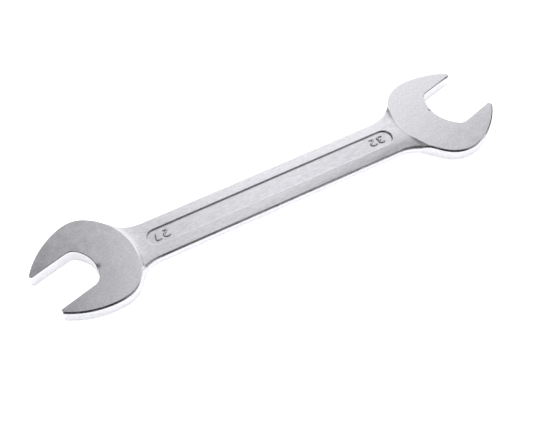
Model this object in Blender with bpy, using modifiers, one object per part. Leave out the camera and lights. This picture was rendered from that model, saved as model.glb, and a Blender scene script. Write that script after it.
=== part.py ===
"""Double open end wrench with 27 mm and 32 mm mouths, drop forged in one piece.

The wrench lies flat: its shank runs along X from the 27 mm head to the 32 mm
head, and +Z points up. The heads rest on z = 0, and the origin is under the
middle of the wrench's bounding box. Each head is laid out in its own plan
frame (u, v): u runs out of the mouth along the jaw axis, v across it, and the
bottom of the throat is at u = 0.
"""
import math
from collections import namedtuple

import bmesh
import bpy
from mathutils import Matrix, Vector

MM = 0.001
DEG = math.pi / 180.0

# Layout: each jaw axis crosses the shank's centre line at its crossing point
CROSSING_SPACING = 232.3 * MM
JAW_ANGLE = 15.0 * DEG
HEAD_THICKNESS = 8.4 * MM
EDGE_BREAK = 0.7 * MM
NOSE_RADIUS = 1.7 * MM

# The 27 mm head
GAP_27 = 27.0 * MM
THROAT_SETBACK_27 = 7.05 * MM
MOUTH_DEPTH_27 = 31.1 * MM
THROAT_RADIUS_27 = 19.5 * MM
THROAT_CORNER_27 = 6.0 * MM
HEAD_WIDTH_27 = 62.3 * MM
HEAD_OFFSET_27 = 0.6 * MM
WIDEST_SETBACK_27 = 1.4 * MM
SHOULDER_RADIUS_27 = 30.0 * MM
CHEEK_RADIUS_27 = 50.0 * MM
WEB_27 = 23.7 * MM
CORNER_RADIUS_27 = 17.0 * MM

# The 32 mm head
GAP_32 = 32.0 * MM
THROAT_SETBACK_32 = 0.5 * MM
MOUTH_DEPTH_32 = 32.0 * MM
THROAT_RADIUS_32 = 22.0 * MM
THROAT_CORNER_32 = 5.0 * MM
HEAD_WIDTH_32 = 65.8 * MM
WIDEST_SETBACK_32 = 0.2 * MM
SHOULDER_RADIUS_32 = 28.5 * MM
CHEEK_RADIUS_32 = 56.0 * MM
WEB_32 = 24.6 * MM
CORNER_RADIUS_32 = 21.0 * MM

# The shank, with its width at each crossing point, and the necks that carry the heads.
# A neck has one fillet on the side that its mouth leans to and one at the heel of its head.
SHANK_WIDTH_27 = 26.8 * MM
SHANK_WIDTH_32 = 27.3 * MM
SHANK_THICKNESS = 6.6 * MM
SHANK_CROWN_27 = 0.3 * MM
SHANK_CROWN_32 = 0.9 * MM
SHANK_EDGE_RADIUS = 1.2 * MM
FLANK_BULGE = 0.2 * MM
LEAN_FILLET_27 = 16.0 * MM
HEEL_FILLET_27 = 24.0 * MM
LEAN_FILLET_32 = 22.0 * MM
HEEL_FILLET_32 = 26.0 * MM
NECK_THICKNESS_27 = 7.1 * MM
NECK_THICKNESS_32 = 8.0 * MM
NECK_CROWN_27 = 0.6 * MM
NECK_CROWN_32 = 0.9 * MM
NECK_EDGE_RUN = 4.2 * MM
NECK_EDGE_DROP = 2.2 * MM
NECK_BITE = 0.3 * MM
NECK_EMBED = 5.0 * MM

# The sunk panel, one on each face of the shank
PANEL_START = 38.4 * MM
PANEL_LENGTH = 160.7 * MM
PANEL_WIDTH_27 = 11.1 * MM
PANEL_WIDTH_32 = 11.6 * MM
PANEL_DEPTH = 1.0 * MM
PANEL_FILLET = 0.7 * MM
CUT_OVERRUN = 3.0 * MM

# Facets
FACET_ANGLE = 5.0 * DEG
SHARP_ANGLE = 30.0 * DEG
FLAT_ANGLE = 0.1 * DEG
EDGE_BREAK_SEGMENTS = 2
CROWN_SEGMENTS = 8
EDGE_SEGMENTS = 4
NECK_STATIONS = 14
WELD_SHARE = 1e-5
ROLL_STEPS = 48

Head = namedtuple("Head", (
    "name crossing_x turn throat_setback gap depth throat_radius throat_corner width offset "
    "widest_setback shoulder_radius cheek_radius web corner_radius"))

HEAD_27 = Head(
    "head_27", -CROSSING_SPACING / 2, math.pi + JAW_ANGLE, THROAT_SETBACK_27, GAP_27, MOUTH_DEPTH_27,
    THROAT_RADIUS_27, THROAT_CORNER_27, HEAD_WIDTH_27, HEAD_OFFSET_27, WIDEST_SETBACK_27,
    SHOULDER_RADIUS_27, CHEEK_RADIUS_27, WEB_27, CORNER_RADIUS_27)
HEAD_32 = Head(
    "head_32", CROSSING_SPACING / 2, JAW_ANGLE, THROAT_SETBACK_32, GAP_32, MOUTH_DEPTH_32,
    THROAT_RADIUS_32, THROAT_CORNER_32, HEAD_WIDTH_32, 0.0, WIDEST_SETBACK_32,
    SHOULDER_RADIUS_32, CHEEK_RADIUS_32, WEB_32, CORNER_RADIUS_32)


def arc(centre, radius, start, end):
    """Points along an arc, both ends included, no further apart than the facet angle."""
    steps = max(1, math.ceil(abs(end - start) / FACET_ANGLE))
    points = []
    for step in range(steps + 1):
        angle = start + (end - start) * step / steps
        points.append((centre[0] + radius * math.cos(angle), centre[1] + radius * math.sin(angle)))
    return points


def direction(start, end):
    """Angle of the line from one plan point to another."""
    return math.atan2(end[1] - start[1], end[0] - start[0])


def meeting_point(centre_a, radius_a, centre_b, radius_b):
    """Where two circles meet, on the right of the line from a to b."""
    gap = math.dist(centre_a, centre_b)
    along = (gap * gap + radius_a * radius_a - radius_b * radius_b) / (2 * gap)
    aside = math.sqrt(radius_a * radius_a - along * along)
    ux = (centre_b[0] - centre_a[0]) / gap
    uy = (centre_b[1] - centre_a[1]) / gap
    return (centre_a[0] + ux * along + uy * aside, centre_a[1] + uy * along - ux * aside)


def throat_side(head):
    """Half of the mouth, from the bottom of the throat to the start of the jaw's flat."""
    half_gap = head.gap / 2
    main = (head.throat_radius, 0.0)
    reach = head.throat_radius - head.throat_corner
    rise = half_gap - head.throat_corner
    corner = (main[0] - math.sqrt(reach * reach - rise * rise), rise)
    blend = direction(main, corner)
    points = arc(main, head.throat_radius, math.pi, blend)
    points += arc(corner, head.throat_corner, blend, math.pi / 2)[1:]
    return points


def jaw_side(head, half_width):
    """Half of the outside, from the jaw's nose round to the back of the head."""
    widest_u = -head.widest_setback
    nose = (head.depth - NOSE_RADIUS, head.gap / 2 + NOSE_RADIUS)
    shoulder = (widest_u, half_width - head.shoulder_radius)
    cheek = meeting_point(
        shoulder, head.cheek_radius - head.shoulder_radius, nose, head.cheek_radius - NOSE_RADIUS)
    nose_end = direction(cheek, nose)
    cheek_end = direction(cheek, shoulder)
    points = arc(nose, NOSE_RADIUS, -math.pi / 2, nose_end)
    points += arc(cheek, head.cheek_radius, nose_end, cheek_end)[1:]
    points += arc(shoulder, head.shoulder_radius, cheek_end, math.pi / 2)[1:]
    length = head.web + widest_u
    corner = (widest_u, half_width - head.corner_radius)
    back_radius = (length ** 2 + corner[1] ** 2 - head.corner_radius ** 2) / (2 * (length - head.corner_radius))
    back = (back_radius - head.web, 0.0)
    back_start = direction(back, corner)
    points += arc(corner, head.corner_radius, math.pi / 2, back_start)[1:]
    points += arc(back, back_radius, back_start, math.pi)[1:]
    return points


def head_outline(head):
    """The head's whole outline in its own plan frame, anticlockwise."""
    wide = throat_side(head) + jaw_side(head, head.width / 2 + head.offset)
    narrow = throat_side(head) + jaw_side(head, head.width / 2 - head.offset)
    return wide + [(u, -v) for u, v in reversed(narrow[1:-1])]


def head_matrix(head):
    """Places the head's plan frame on the shank."""
    turn = Matrix.Rotation(head.turn, 4, "Z")
    return Matrix.Translation((head.crossing_x, 0.0, 0.0)) @ turn @ Matrix.Translation((-head.throat_setback, 0.0, 0.0))


def placed_outline(head):
    """The head's outline in the wrench's plan, as (x, y)."""
    matrix = head_matrix(head)
    return [(matrix @ Vector((u, v, 0.0))).to_2d() for u, v in head_outline(head)]


def blend(start, end, share):
    """A value part of the way from one to another."""
    return start + (end - start) * share


def along_shank(x, at_27, at_32):
    """A size that grows steadily from the 27 mm head's crossing point to the 32 mm head's."""
    return blend(at_27, at_32, x / CROSSING_SPACING + 1 / 2)


def half_width_at(x):
    """Half of the shank's width."""
    return along_shank(x, SHANK_WIDTH_27, SHANK_WIDTH_32) / 2


def distance_to_outline(point, outline):
    """Shortest distance from a plan point to a closed outline."""
    best = math.inf
    for start, end in zip(outline, outline[1:] + outline[:1]):
        edge = end - start
        share = max(0.0, min(1.0, (point - start).dot(edge) / edge.length_squared))
        best = min(best, (start + edge * share - point).length)
    return best


def rolled_fillet(head, side, radius):
    """The circle between the shank's edge and the head, and where it reaches the head.

    It is rolled along the shank's edge from the middle of the wrench until it
    bites into the head's outline.
    """
    outline = placed_outline(head)
    clear, touching = 0.0, head.crossing_x
    centre = Vector((0.0, 0.0))
    for _ in range(ROLL_STEPS):
        x = (clear + touching) / 2
        centre = Vector((x, side * (half_width_at(x) + radius)))
        if distance_to_outline(centre, outline) > radius - NECK_BITE:
            clear = x
        else:
            touching = x
    nearest = min(outline, key=lambda corner: (corner - centre).length)
    contact = centre + (nearest - centre).normalized() * radius
    return centre, contact


class Neck:
    """One neck: how far the body reaches at each station between the shank and the head."""

    def __init__(self, head, lean_fillet, heel_fillet, thickness, crown):
        self.sign = 1 if head.crossing_x > 0.0 else -1
        self.fillets = {self.sign: lean_fillet, -self.sign: heel_fillet}
        self.thickness = thickness
        self.crown = crown
        self.circles = {side: rolled_fillet(head, side, self.fillets[side]) for side in (1, -1)}
        self.start = min(abs(centre.x) for centre, _ in self.circles.values())
        self.contact = max(abs(contact.x) for _, contact in self.circles.values())
        self.end = self.contact + NECK_EMBED

    def stations(self):
        """Station places, close together where the fillets are steep."""
        shares = [math.sin(math.pi / 2 * step / NECK_STATIONS) for step in range(NECK_STATIONS + 1)]
        places = [self.start + (self.contact - self.start) * share for share in shares]
        return [self.sign * place for place in places + [self.end]]

    def edge(self, x, side):
        """The body's edge on one side at one station."""
        centre, contact = self.circles[side]
        if abs(x) <= abs(centre.x):
            return side * half_width_at(x)
        run = min(abs(x), abs(contact.x)) - abs(centre.x)
        return centre.y - side * math.sqrt(self.fillets[side] ** 2 - run ** 2)

    def share(self, x):
        """0 on the shank, rising smoothly to 1 at the head."""
        share = max(0.0, min(1.0, (abs(x) - self.start) / (self.contact - self.start)))
        return share * share * (3 - 2 * share)


def quarter_turn():
    """Angles of a rounded edge, from the flank to the face."""
    return [math.pi / 2 * step / EDGE_SEGMENTS for step in range(EDGE_SEGMENTS + 1)]


def section(low, high, half_thickness, crown, edge_run, edge_drop):
    """The body's cross-section as (y, z): crowned faces, round edges and bulged flanks."""
    near = low + FLANK_BULGE + edge_run
    far = high - FLANK_BULGE - edge_run
    corner_z = half_thickness - crown - edge_drop
    upper = [(far + edge_run * math.cos(angle), corner_z + edge_drop * math.sin(angle))
             for angle in quarter_turn()]
    for step in range(1, CROWN_SEGMENTS):
        share = 1 - 2 * step / CROWN_SEGMENTS
        upper.append(((near + far) / 2 + (far - near) / 2 * share, half_thickness - crown * share * share))
    upper += [(near - edge_run * math.sin(angle), corner_z + edge_drop * math.cos(angle))
              for angle in quarter_turn()]
    lower = [(y, -z) for y, z in reversed(upper)]
    return [(high, 0.0)] + upper + [(low, 0.0)] + lower


def body_rings():
    """Cross-sections of the shank and both necks, from the 27 mm head to the 32 mm head."""
    neck_27 = Neck(HEAD_27, LEAN_FILLET_27, HEEL_FILLET_27, NECK_THICKNESS_27, NECK_CROWN_27)
    neck_32 = Neck(HEAD_32, LEAN_FILLET_32, HEEL_FILLET_32, NECK_THICKNESS_32, NECK_CROWN_32)
    rings = []
    for neck, places in ((neck_27, reversed(neck_27.stations())), (neck_32, neck_32.stations())):
        for x in places:
            share = neck.share(x)
            outline = section(
                neck.edge(x, -1), neck.edge(x, 1),
                blend(SHANK_THICKNESS, neck.thickness, share) / 2,
                blend(along_shank(x, SHANK_CROWN_27, SHANK_CROWN_32), neck.crown, share),
                blend(SHANK_EDGE_RADIUS, NECK_EDGE_RUN, share),
                blend(SHANK_EDGE_RADIUS, NECK_EDGE_DROP, share))
            rings.append([(x, y, z) for y, z in outline])
    return rings


def material():
    """Satin chrome plate on steel."""
    satin_chrome = bpy.data.materials.new("satin_chrome_plate")
    satin_chrome.use_nodes = True
    shader = satin_chrome.node_tree.nodes["Principled BSDF"]
    shader.inputs["Base Color"].default_value = (0.62, 0.62, 0.64, 1.0)
    shader.inputs["Metallic"].default_value = 1.0
    shader.inputs["Roughness"].default_value = 0.3
    return satin_chrome


def link_cutter(obj, cutters):
    """Keeps a solid that only shapes the forging out of the render."""
    cutters.objects.link(obj)
    obj.hide_render = True
    obj.display_type = "WIRE"


def flat_solid(name, outline, half_thickness):
    """A flat outline given its thickness, as a welded mesh object."""
    curve = bpy.data.curves.new(name + "_outline", "CURVE")
    curve.dimensions = "2D"
    curve.fill_mode = "BOTH"
    curve.extrude = half_thickness
    spline = curve.splines.new("POLY")
    spline.points.add(len(outline) - 1)
    for point, (u, v) in zip(spline.points, outline):
        point.co = (u, v, 0.0, 1.0)
    spline.use_cyclic_u = True
    sketch = bpy.data.objects.new(name + "_sketch", curve)
    bpy.context.scene.collection.objects.link(sketch)
    depsgraph = bpy.context.evaluated_depsgraph_get()
    mesh = bpy.data.meshes.new_from_object(sketch.evaluated_get(depsgraph))
    mesh.name = name
    solid = bpy.data.objects.new(name, mesh)
    solid.matrix_world = sketch.matrix_world
    bpy.data.objects.remove(sketch)
    tidy = bmesh.new()
    tidy.from_mesh(mesh)
    bmesh.ops.remove_doubles(tidy, verts=tidy.verts, dist=half_thickness * WELD_SHARE)
    bmesh.ops.dissolve_limit(tidy, angle_limit=FLAT_ANGLE, verts=tidy.verts, edges=tidy.edges)
    bmesh.ops.recalc_face_normals(tidy, faces=tidy.faces)
    tidy.to_mesh(mesh)
    tidy.free()
    return solid


def make_head(head, cutters):
    """The head: its outline through the full thickness, with broken edges."""
    solid = flat_solid(head.name, head_outline(head), HEAD_THICKNESS / 2)
    solid.matrix_world = head_matrix(head)
    link_cutter(solid, cutters)
    breaks = solid.modifiers.new("broken_edges", "BEVEL")
    breaks.limit_method = "ANGLE"
    breaks.angle_limit = SHARP_ANGLE
    breaks.width = EDGE_BREAK
    breaks.segments = EDGE_BREAK_SEGMENTS
    breaks.use_clamp_overlap = False
    return solid


def make_body():
    """The shank and necks, lofted through their cross-sections."""
    loft = bmesh.new()
    rings = [[loft.verts.new(point) for point in ring] for ring in body_rings()]
    for ring, following in zip(rings, rings[1:]):
        for index in range(len(ring)):
            after = (index + 1) % len(ring)
            loft.faces.new((ring[index], ring[after], following[after], following[index]))
    loft.faces.new(rings[0])
    loft.faces.new(rings[-1])
    bmesh.ops.recalc_face_normals(loft, faces=loft.faces)
    mesh = bpy.data.meshes.new("wrench_forging")
    loft.to_mesh(mesh)
    loft.free()
    return bpy.data.objects.new("wrench_forging", mesh)


def panel_outline():
    """A long slot outline whose round ends differ a little in width."""
    left, right = PANEL_WIDTH_27 / 2, PANEL_WIDTH_32 / 2
    start = PANEL_START - CROSSING_SPACING / 2 + left
    end = PANEL_START - CROSSING_SPACING / 2 + PANEL_LENGTH - right
    lean = math.asin((right - left) / (end - start))
    square = math.pi / 2 + lean
    points = arc((end, 0.0), right, -square, square)
    points += arc((start, 0.0), left, square, 2 * math.pi - square)
    return points


def make_panel_cutter(name, side, cutters):
    """The solid that sinks the panel in one face, with a fillet round its floor."""
    height = PANEL_DEPTH + CUT_OVERRUN
    solid = flat_solid(name, panel_outline(), height / 2)
    floor = SHANK_THICKNESS / 2 - PANEL_DEPTH
    solid.location = (0.0, 0.0, side * (floor + height / 2))
    link_cutter(solid, cutters)
    weights = solid.data.attributes.new("bevel_weight_edge", "FLOAT", "EDGE")
    for edge in solid.data.edges:
        ends = [solid.data.vertices[index].co for index in edge.vertices]
        on_floor = all(side * end.z < 0.0 for end in ends)
        neighbours = [face for face in solid.data.polygons if set(edge.vertices) <= set(face.vertices)]
        walls = [face for face in neighbours if abs(face.normal.z) < 1 / 2]
        weights.data[edge.index].value = 1.0 if on_floor and len(walls) == 1 else 0.0
    fillet = solid.modifiers.new("floor_fillet", "BEVEL")
    fillet.limit_method = "WEIGHT"
    fillet.width = PANEL_FILLET
    fillet.segments = EDGE_SEGMENTS - 1
    return solid


def cut_or_join(obj, operation, other):
    """Adds one exact Boolean step to the forging."""
    step = obj.modifiers.new(other.name + "_" + operation.lower(), "BOOLEAN")
    step.operation = operation
    step.solver = "EXACT"
    step.object = other


def rest_on_origin(obj):
    """Stands the finished forging on z = 0 with its bounding box over the origin."""
    depsgraph = bpy.context.evaluated_depsgraph_get()
    finished = bpy.data.meshes.new_from_object(obj.evaluated_get(depsgraph))
    places = [vertex.co for vertex in finished.vertices]
    lows = [min(place[axis] for place in places) for axis in range(3)]
    highs = [max(place[axis] for place in places) for axis in range(3)]
    shift = Vector((-(lows[0] + highs[0]) / 2, -(lows[1] + highs[1]) / 2, -lows[2]))
    bpy.data.meshes.remove(finished)
    return shift


def main():
    """Builds the forging and its shaping solids."""
    for leftover in list(bpy.data.objects):
        bpy.data.objects.remove(leftover)
    parts = bpy.data.collections.new("open_end_wrench")
    cutters = bpy.data.collections.new("shaping_solids")
    bpy.context.scene.collection.children.link(parts)
    bpy.context.scene.collection.children.link(cutters)

    forging = make_body()
    parts.objects.link(forging)
    forging.data.materials.append(material())
    shapers = []
    for head in (HEAD_27, HEAD_32):
        solid = make_head(head, cutters)
        cut_or_join(forging, "UNION", solid)
        shapers.append(solid)
    for name, side in (("panel_top", 1), ("panel_bottom", -1)):
        solid = make_panel_cutter(name, side, cutters)
        cut_or_join(forging, "DIFFERENCE", solid)
        shapers.append(solid)
    bpy.context.view_layer.update()
    shift = rest_on_origin(forging)
    for obj in [forging] + shapers:
        obj.location += shift
    forging.data.shade_smooth()
    forging.data.set_sharp_from_angle(angle=SHARP_ANGLE)


main()
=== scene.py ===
"""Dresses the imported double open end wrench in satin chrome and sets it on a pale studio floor.

The forging is modelled again, smooth, over the faceted CAD node. Its plan is one
closed outline: both heads, the necks' fillets and the shank's edges. The height of
each point of its faces then follows from how far the point lies inside that
outline, the heads' own outlines and the sunk panel's outline. Lengths are in metres.
"""
import math
from collections import namedtuple

import bmesh
import bpy
import numpy as np
from mathutils import Matrix, Vector
from mathutils.geometry import delaunay_2d_cdt


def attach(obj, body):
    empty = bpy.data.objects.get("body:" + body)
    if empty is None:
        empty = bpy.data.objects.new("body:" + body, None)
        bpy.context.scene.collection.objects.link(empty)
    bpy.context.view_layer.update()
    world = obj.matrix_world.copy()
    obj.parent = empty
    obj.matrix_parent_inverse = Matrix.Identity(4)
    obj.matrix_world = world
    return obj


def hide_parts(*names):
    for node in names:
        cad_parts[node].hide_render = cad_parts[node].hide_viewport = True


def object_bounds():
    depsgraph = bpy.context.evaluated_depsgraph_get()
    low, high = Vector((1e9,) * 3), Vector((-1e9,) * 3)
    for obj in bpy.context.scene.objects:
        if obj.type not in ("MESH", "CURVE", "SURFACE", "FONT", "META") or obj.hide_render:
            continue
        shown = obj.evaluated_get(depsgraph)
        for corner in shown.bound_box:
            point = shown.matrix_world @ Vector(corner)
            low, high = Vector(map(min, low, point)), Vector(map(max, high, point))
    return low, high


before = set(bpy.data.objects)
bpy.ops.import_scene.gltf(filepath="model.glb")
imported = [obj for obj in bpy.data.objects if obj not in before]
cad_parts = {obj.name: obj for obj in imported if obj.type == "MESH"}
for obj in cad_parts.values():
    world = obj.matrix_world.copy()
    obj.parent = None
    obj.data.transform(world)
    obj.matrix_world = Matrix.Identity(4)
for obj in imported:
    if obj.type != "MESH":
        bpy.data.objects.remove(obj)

bl_info = {
    "name": "Open End Wrench",
    "version": (1, 0, 0),
    "blender": (4, 5, 0),
    "location": "3D View > Sidebar > Wrench",
    "description": "Models a forged double open end wrench, its raised size numbers and a studio for it",
    "category": "Object",
}

CAD_BOX = [list(corner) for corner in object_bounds()]
NODE = "wrench_forging"
BODY = "root"

MM = 0.001
DEG = math.pi / 180.0

# Layout: each jaw axis crosses the shank's centre line at its crossing point
CROSSING_SPACING = 232.3 * MM
JAW_ANGLE = 15.0 * DEG
NOSE_RADIUS = 1.7 * MM

# Outline of each head in its plan frame: u out of the mouth from the throat's bottom, v across
THROAT_SETBACK_27 = 7.05 * MM
MOUTH_DEPTH_27 = 31.1 * MM
THROAT_RADIUS_27 = 19.5 * MM
THROAT_CORNER_27 = 6.0 * MM
HEAD_OFFSET_27 = 0.6 * MM
WIDEST_SETBACK_27 = 1.4 * MM
SHOULDER_RADIUS_27 = 30.0 * MM
CHEEK_RADIUS_27 = 50.0 * MM
WEB_27 = 23.7 * MM
CORNER_RADIUS_27 = 17.0 * MM
THROAT_SETBACK_32 = 0.5 * MM
MOUTH_DEPTH_32 = 32.0 * MM
THROAT_RADIUS_32 = 22.0 * MM
THROAT_CORNER_32 = 5.0 * MM
WIDEST_SETBACK_32 = 0.2 * MM
SHOULDER_RADIUS_32 = 28.5 * MM
CHEEK_RADIUS_32 = 56.0 * MM
WEB_32 = 24.6 * MM
CORNER_RADIUS_32 = 21.0 * MM

# Necks: plan fillets on the side that the mouth leans to and at the heel, and how they thicken
LEAN_FILLET_27 = 16.0 * MM
HEEL_FILLET_27 = 24.0 * MM
LEAN_FILLET_32 = 22.0 * MM
HEEL_FILLET_32 = 26.0 * MM
NECK_THICKNESS_27 = 7.3 * MM
NECK_THICKNESS_32 = 8.2 * MM
NECK_REACH_27 = 10.0 * MM
NECK_REACH_32 = 16.0 * MM
NECK_CROWN_27 = 0.6 * MM
NECK_CROWN_32 = 0.35 * MM
NECK_MIDDLE = 6.0 * MM
NECK_SIDE_START = 0.5
NECK_SIDE_POWER = 1.3
LEAN_DROP_27 = 0.2 * MM
HEEL_DROP_27 = 0.1 * MM
LEAN_DROP_32 = 0.0 * MM
HEEL_DROP_32 = 0.8 * MM

# The step from a ground head face down to its neck
STEP_INSIDE_27 = 0.8 * MM
STEP_LEAN_OUTSIDE_27 = 1.2 * MM
STEP_HEEL_OUTSIDE_27 = 1.6 * MM
STEP_INSIDE_32 = 0.5 * MM
STEP_LEAN_OUTSIDE_32 = 1.9 * MM
STEP_HEEL_OUTSIDE_32 = 1.2 * MM
STEP_FADE = 3.0 * MM

# Shank section
SHANK_CROWN_27 = 0.3 * MM
SHANK_CROWN_32 = 0.9 * MM
FLANK_BULGE = 0.2 * MM
LEAST_HALF_WIDTH = 1.0 * MM

# Forged flanks: each leaves the face at a slope and steepens with a radius, over a run, down to the wall
FLANK_SLOPE = 49.0 * DEG
FLANK_RADIUS = 7.5 * MM
SHANK_FLANK_RUN = 0.8 * MM
NECK_FLANK_RUN = 1.15 * MM
MOUTH_FLANK_RUN = 0.32 * MM

# A mouth's edge reaches this share of a nose's radius aside, and starts this far behind the throat
MOUTH_NOSE_SHARE = 0.6
MOUTH_CLEARANCE = 1.0 * MM

# Sunk panel
PANEL_START = 38.4 * MM
PANEL_WIDTH_27 = 11.1 * MM
PANEL_WIDTH_32 = 11.6 * MM
PANEL_RIM = 0.15 * MM
PANEL_WALL = 0.55 * MM

# Mesh spacing: along the outline, then rows of points at set distances inside an outline, then a grid
OUTLINE_SPACING = 0.8 * MM
SHARED_POINT_SHARE = 1e-3
FINE_TURN = 9.0 * DEG
EDGE_ROWS = [row * MM for row in (0.0, 0.02, 0.1, 0.2, 0.29, 0.35, 0.48, 0.64, 0.77, 0.83, 0.92)]
NECK_ROWS = [row * MM for row in (1.25, 1.7, 2.3, 3.1, 4.2)]
NECK_ROW_END = 0.5 * MM
STEP_ROWS = [row * MM for row in (-2.1, -1.6, -1.1, -0.75, -0.45, -0.2, 0.05, 0.3, 0.55, 0.8, 1.0, 1.4)]
PANEL_ROWS = [row * MM for row in (-0.6, -0.2, -0.1, 0.0, 0.1, 0.2, 0.3, 0.4, 0.5, 0.8, 1.4)]
GRID_SPACING = 2.0 * MM
ROW_CLEARANCE = 0.3 * MM
GRID_CLEARANCE = 0.9 * MM
STEP_ROW_START = STEP_FADE / 8
MESH_MERGE_LIMIT = 1e-6
WALL_SHARES = (1.0, 0.5, 0.0, -0.5, -1.0)
DISTANCE_BATCH = 1500
ROLL_STEPS = 60

# Raised size numbers: where each stands in the part's frame, and its form
NUMBER_PLACE_27 = Vector((-72.5, 0.2, 0.0)) * MM
NUMBER_PLACE_32 = Vector((69.1, 0.3, 0.0)) * MM
NUMBER_SINK = 0.1 * MM
NUMBER_WIDTH_27 = 10.2 * MM
NUMBER_WIDTH_32 = 10.6 * MM
NUMBER_GAP = 0.1 * MM
STROKE_WIDTH = 1.6 * MM
STROKE_TOP = 0.25 * MM
STROKE_BEND = 0.5 * MM
STROKE_END = 0.35 * MM
STROKE_END_SHARE = 0.2
STROKE_BEND_STEPS = 3
BOW_STEPS = 9

# Surface under the plate: the grain is drawn about four times as coarse as the real one, to show at all
GRAIN_SIZE = 1.2 * MM
GRAIN_DETAIL = 2.0
PATCH_SIZE = 6.0 * MM
PATCH_DETAIL = 2.5
CLOUD_ROUGHNESS = 0.6
CLOUD_SPREAD = {"From Min": 0.3, "From Max": 0.7}
BLAST_DEPTH = 0.03 * MM
BLAST_SHADE = 0.09
FORGING_WAVE = 0.15 * MM
FORGING_SHADE = 0.045
BLAST_STRETCH = 0.45
GRINDING_DEPTH = 0.006 * MM
GRINDING_SHADE = 0.065
GRINDING_WAVE = 0.035 * MM
GRINDING_WAVE_SHADE = 0.028
GRINDING_STRETCH = 1.0
ROUGHNESS_SWING = 0.03

# Darker spots in the ground faces' colour, beside the bottom of each mouth
DARK_SPOT_ASIDE = 5.0 * MM
DARK_SPOT_RADIUS_27 = 3.0 * MM
DARK_SPOT_RADIUS_32 = 1.9 * MM
DARK_SPOT_TONE = 0.3

# Studio, by direction: azimuth from +Y towards +X and elevation, where a light is full and ends, its level
ROOM_LEVEL = 0.3
OVERHEAD_PANEL = (29.0, 60.3, 3.0, 14.3, 0.74)
SOFTBOX = (27.0, 23.0, 22.0, 34.0, 0.9)
SIDE_FILL = (79.0, 14.0, 9.0, 34.0, 0.6)
CAMERA_SIDE_SHADE = (200.0, 8.0, 27.0, 50.0, -0.28)
LEFT_SHADE = (290.0, 6.0, 20.0, 44.0, -0.16)
CORNER_SHADE = (-10.0, 43.0, 4.0, 18.0, -0.1)
STUDIO_LIGHTS = (OVERHEAD_PANEL, SOFTBOX, SIDE_FILL, CAMERA_SIDE_SHADE, LEFT_SHADE, CORNER_SHADE)
CEILING_HEIGHT = 1.6
CEILING_SIZE = 2.4
CEILING_POWER = 24.0
FLOOR_REACH = 3.0
FLOOR_GLOW = 0.5
PAPER_ROUGHNESS = 0.9

# Black card lying beyond the 32 mm head, which only the metal sees: its middle and its size
CARD_PLACE = Vector((203.0, 7.5, 0.2)) * MM
CARD_SIZE = Vector((114.0, 105.0, 0.0)) * MM

# Camera that took the photograph, solved from both mouths and both head outlines
CAMERA_PLACE = Vector((-155.53, -282.74, 416.3)) * MM
CAMERA_ELEVATION = 53.867 * DEG
CAMERA_TURN = 28.97 * DEG
SENSOR_WIDTH = 36.0
PHOTO_WIDTH = 556
FOCAL_PIXELS = 900.0
CAMERA_NEAREST = 10.0 * MM

Head = namedtuple("Head", (
    "crossing_x turn throat_setback gap depth throat_radius throat_corner width offset "
    "widest_setback shoulder_radius cheek_radius web corner_radius lean_fillet heel_fillet"))
Step = namedtuple("Step", (
    "thickness reach crown inside lean_outside heel_outside lean_drop heel_drop leans_to"))
STEP_27 = Step(NECK_THICKNESS_27, NECK_REACH_27, NECK_CROWN_27, STEP_INSIDE_27, STEP_LEAN_OUTSIDE_27,
               STEP_HEEL_OUTSIDE_27, LEAN_DROP_27, HEEL_DROP_27, -1)
STEP_32 = Step(NECK_THICKNESS_32, NECK_REACH_32, NECK_CROWN_32, STEP_INSIDE_32, STEP_LEAN_OUTSIDE_32,
               STEP_HEEL_OUTSIDE_32, LEAN_DROP_32, HEEL_DROP_32, 1)
Skin = namedtuple("Skin", "grain_depth grain_shade patch_depth patch_shade stretch")
BLASTED = Skin(BLAST_DEPTH, BLAST_SHADE, FORGING_WAVE, FORGING_SHADE, BLAST_STRETCH)
GROUND = Skin(GRINDING_DEPTH, GRINDING_SHADE, GRINDING_WAVE, GRINDING_WAVE_SHADE, GRINDING_STRETCH)


def linear(hex_colour):
    """An sRGB hex colour as linear red, green, blue and full alpha."""
    channels = [int(hex_colour[place:place + 2], 16) / 255 for place in (1, 3, 5)]
    return tuple(c / 12.92 if c <= 0.04045 else ((c + 0.055) / 1.055) ** 2.4 for c in channels) + (1.0,)


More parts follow.
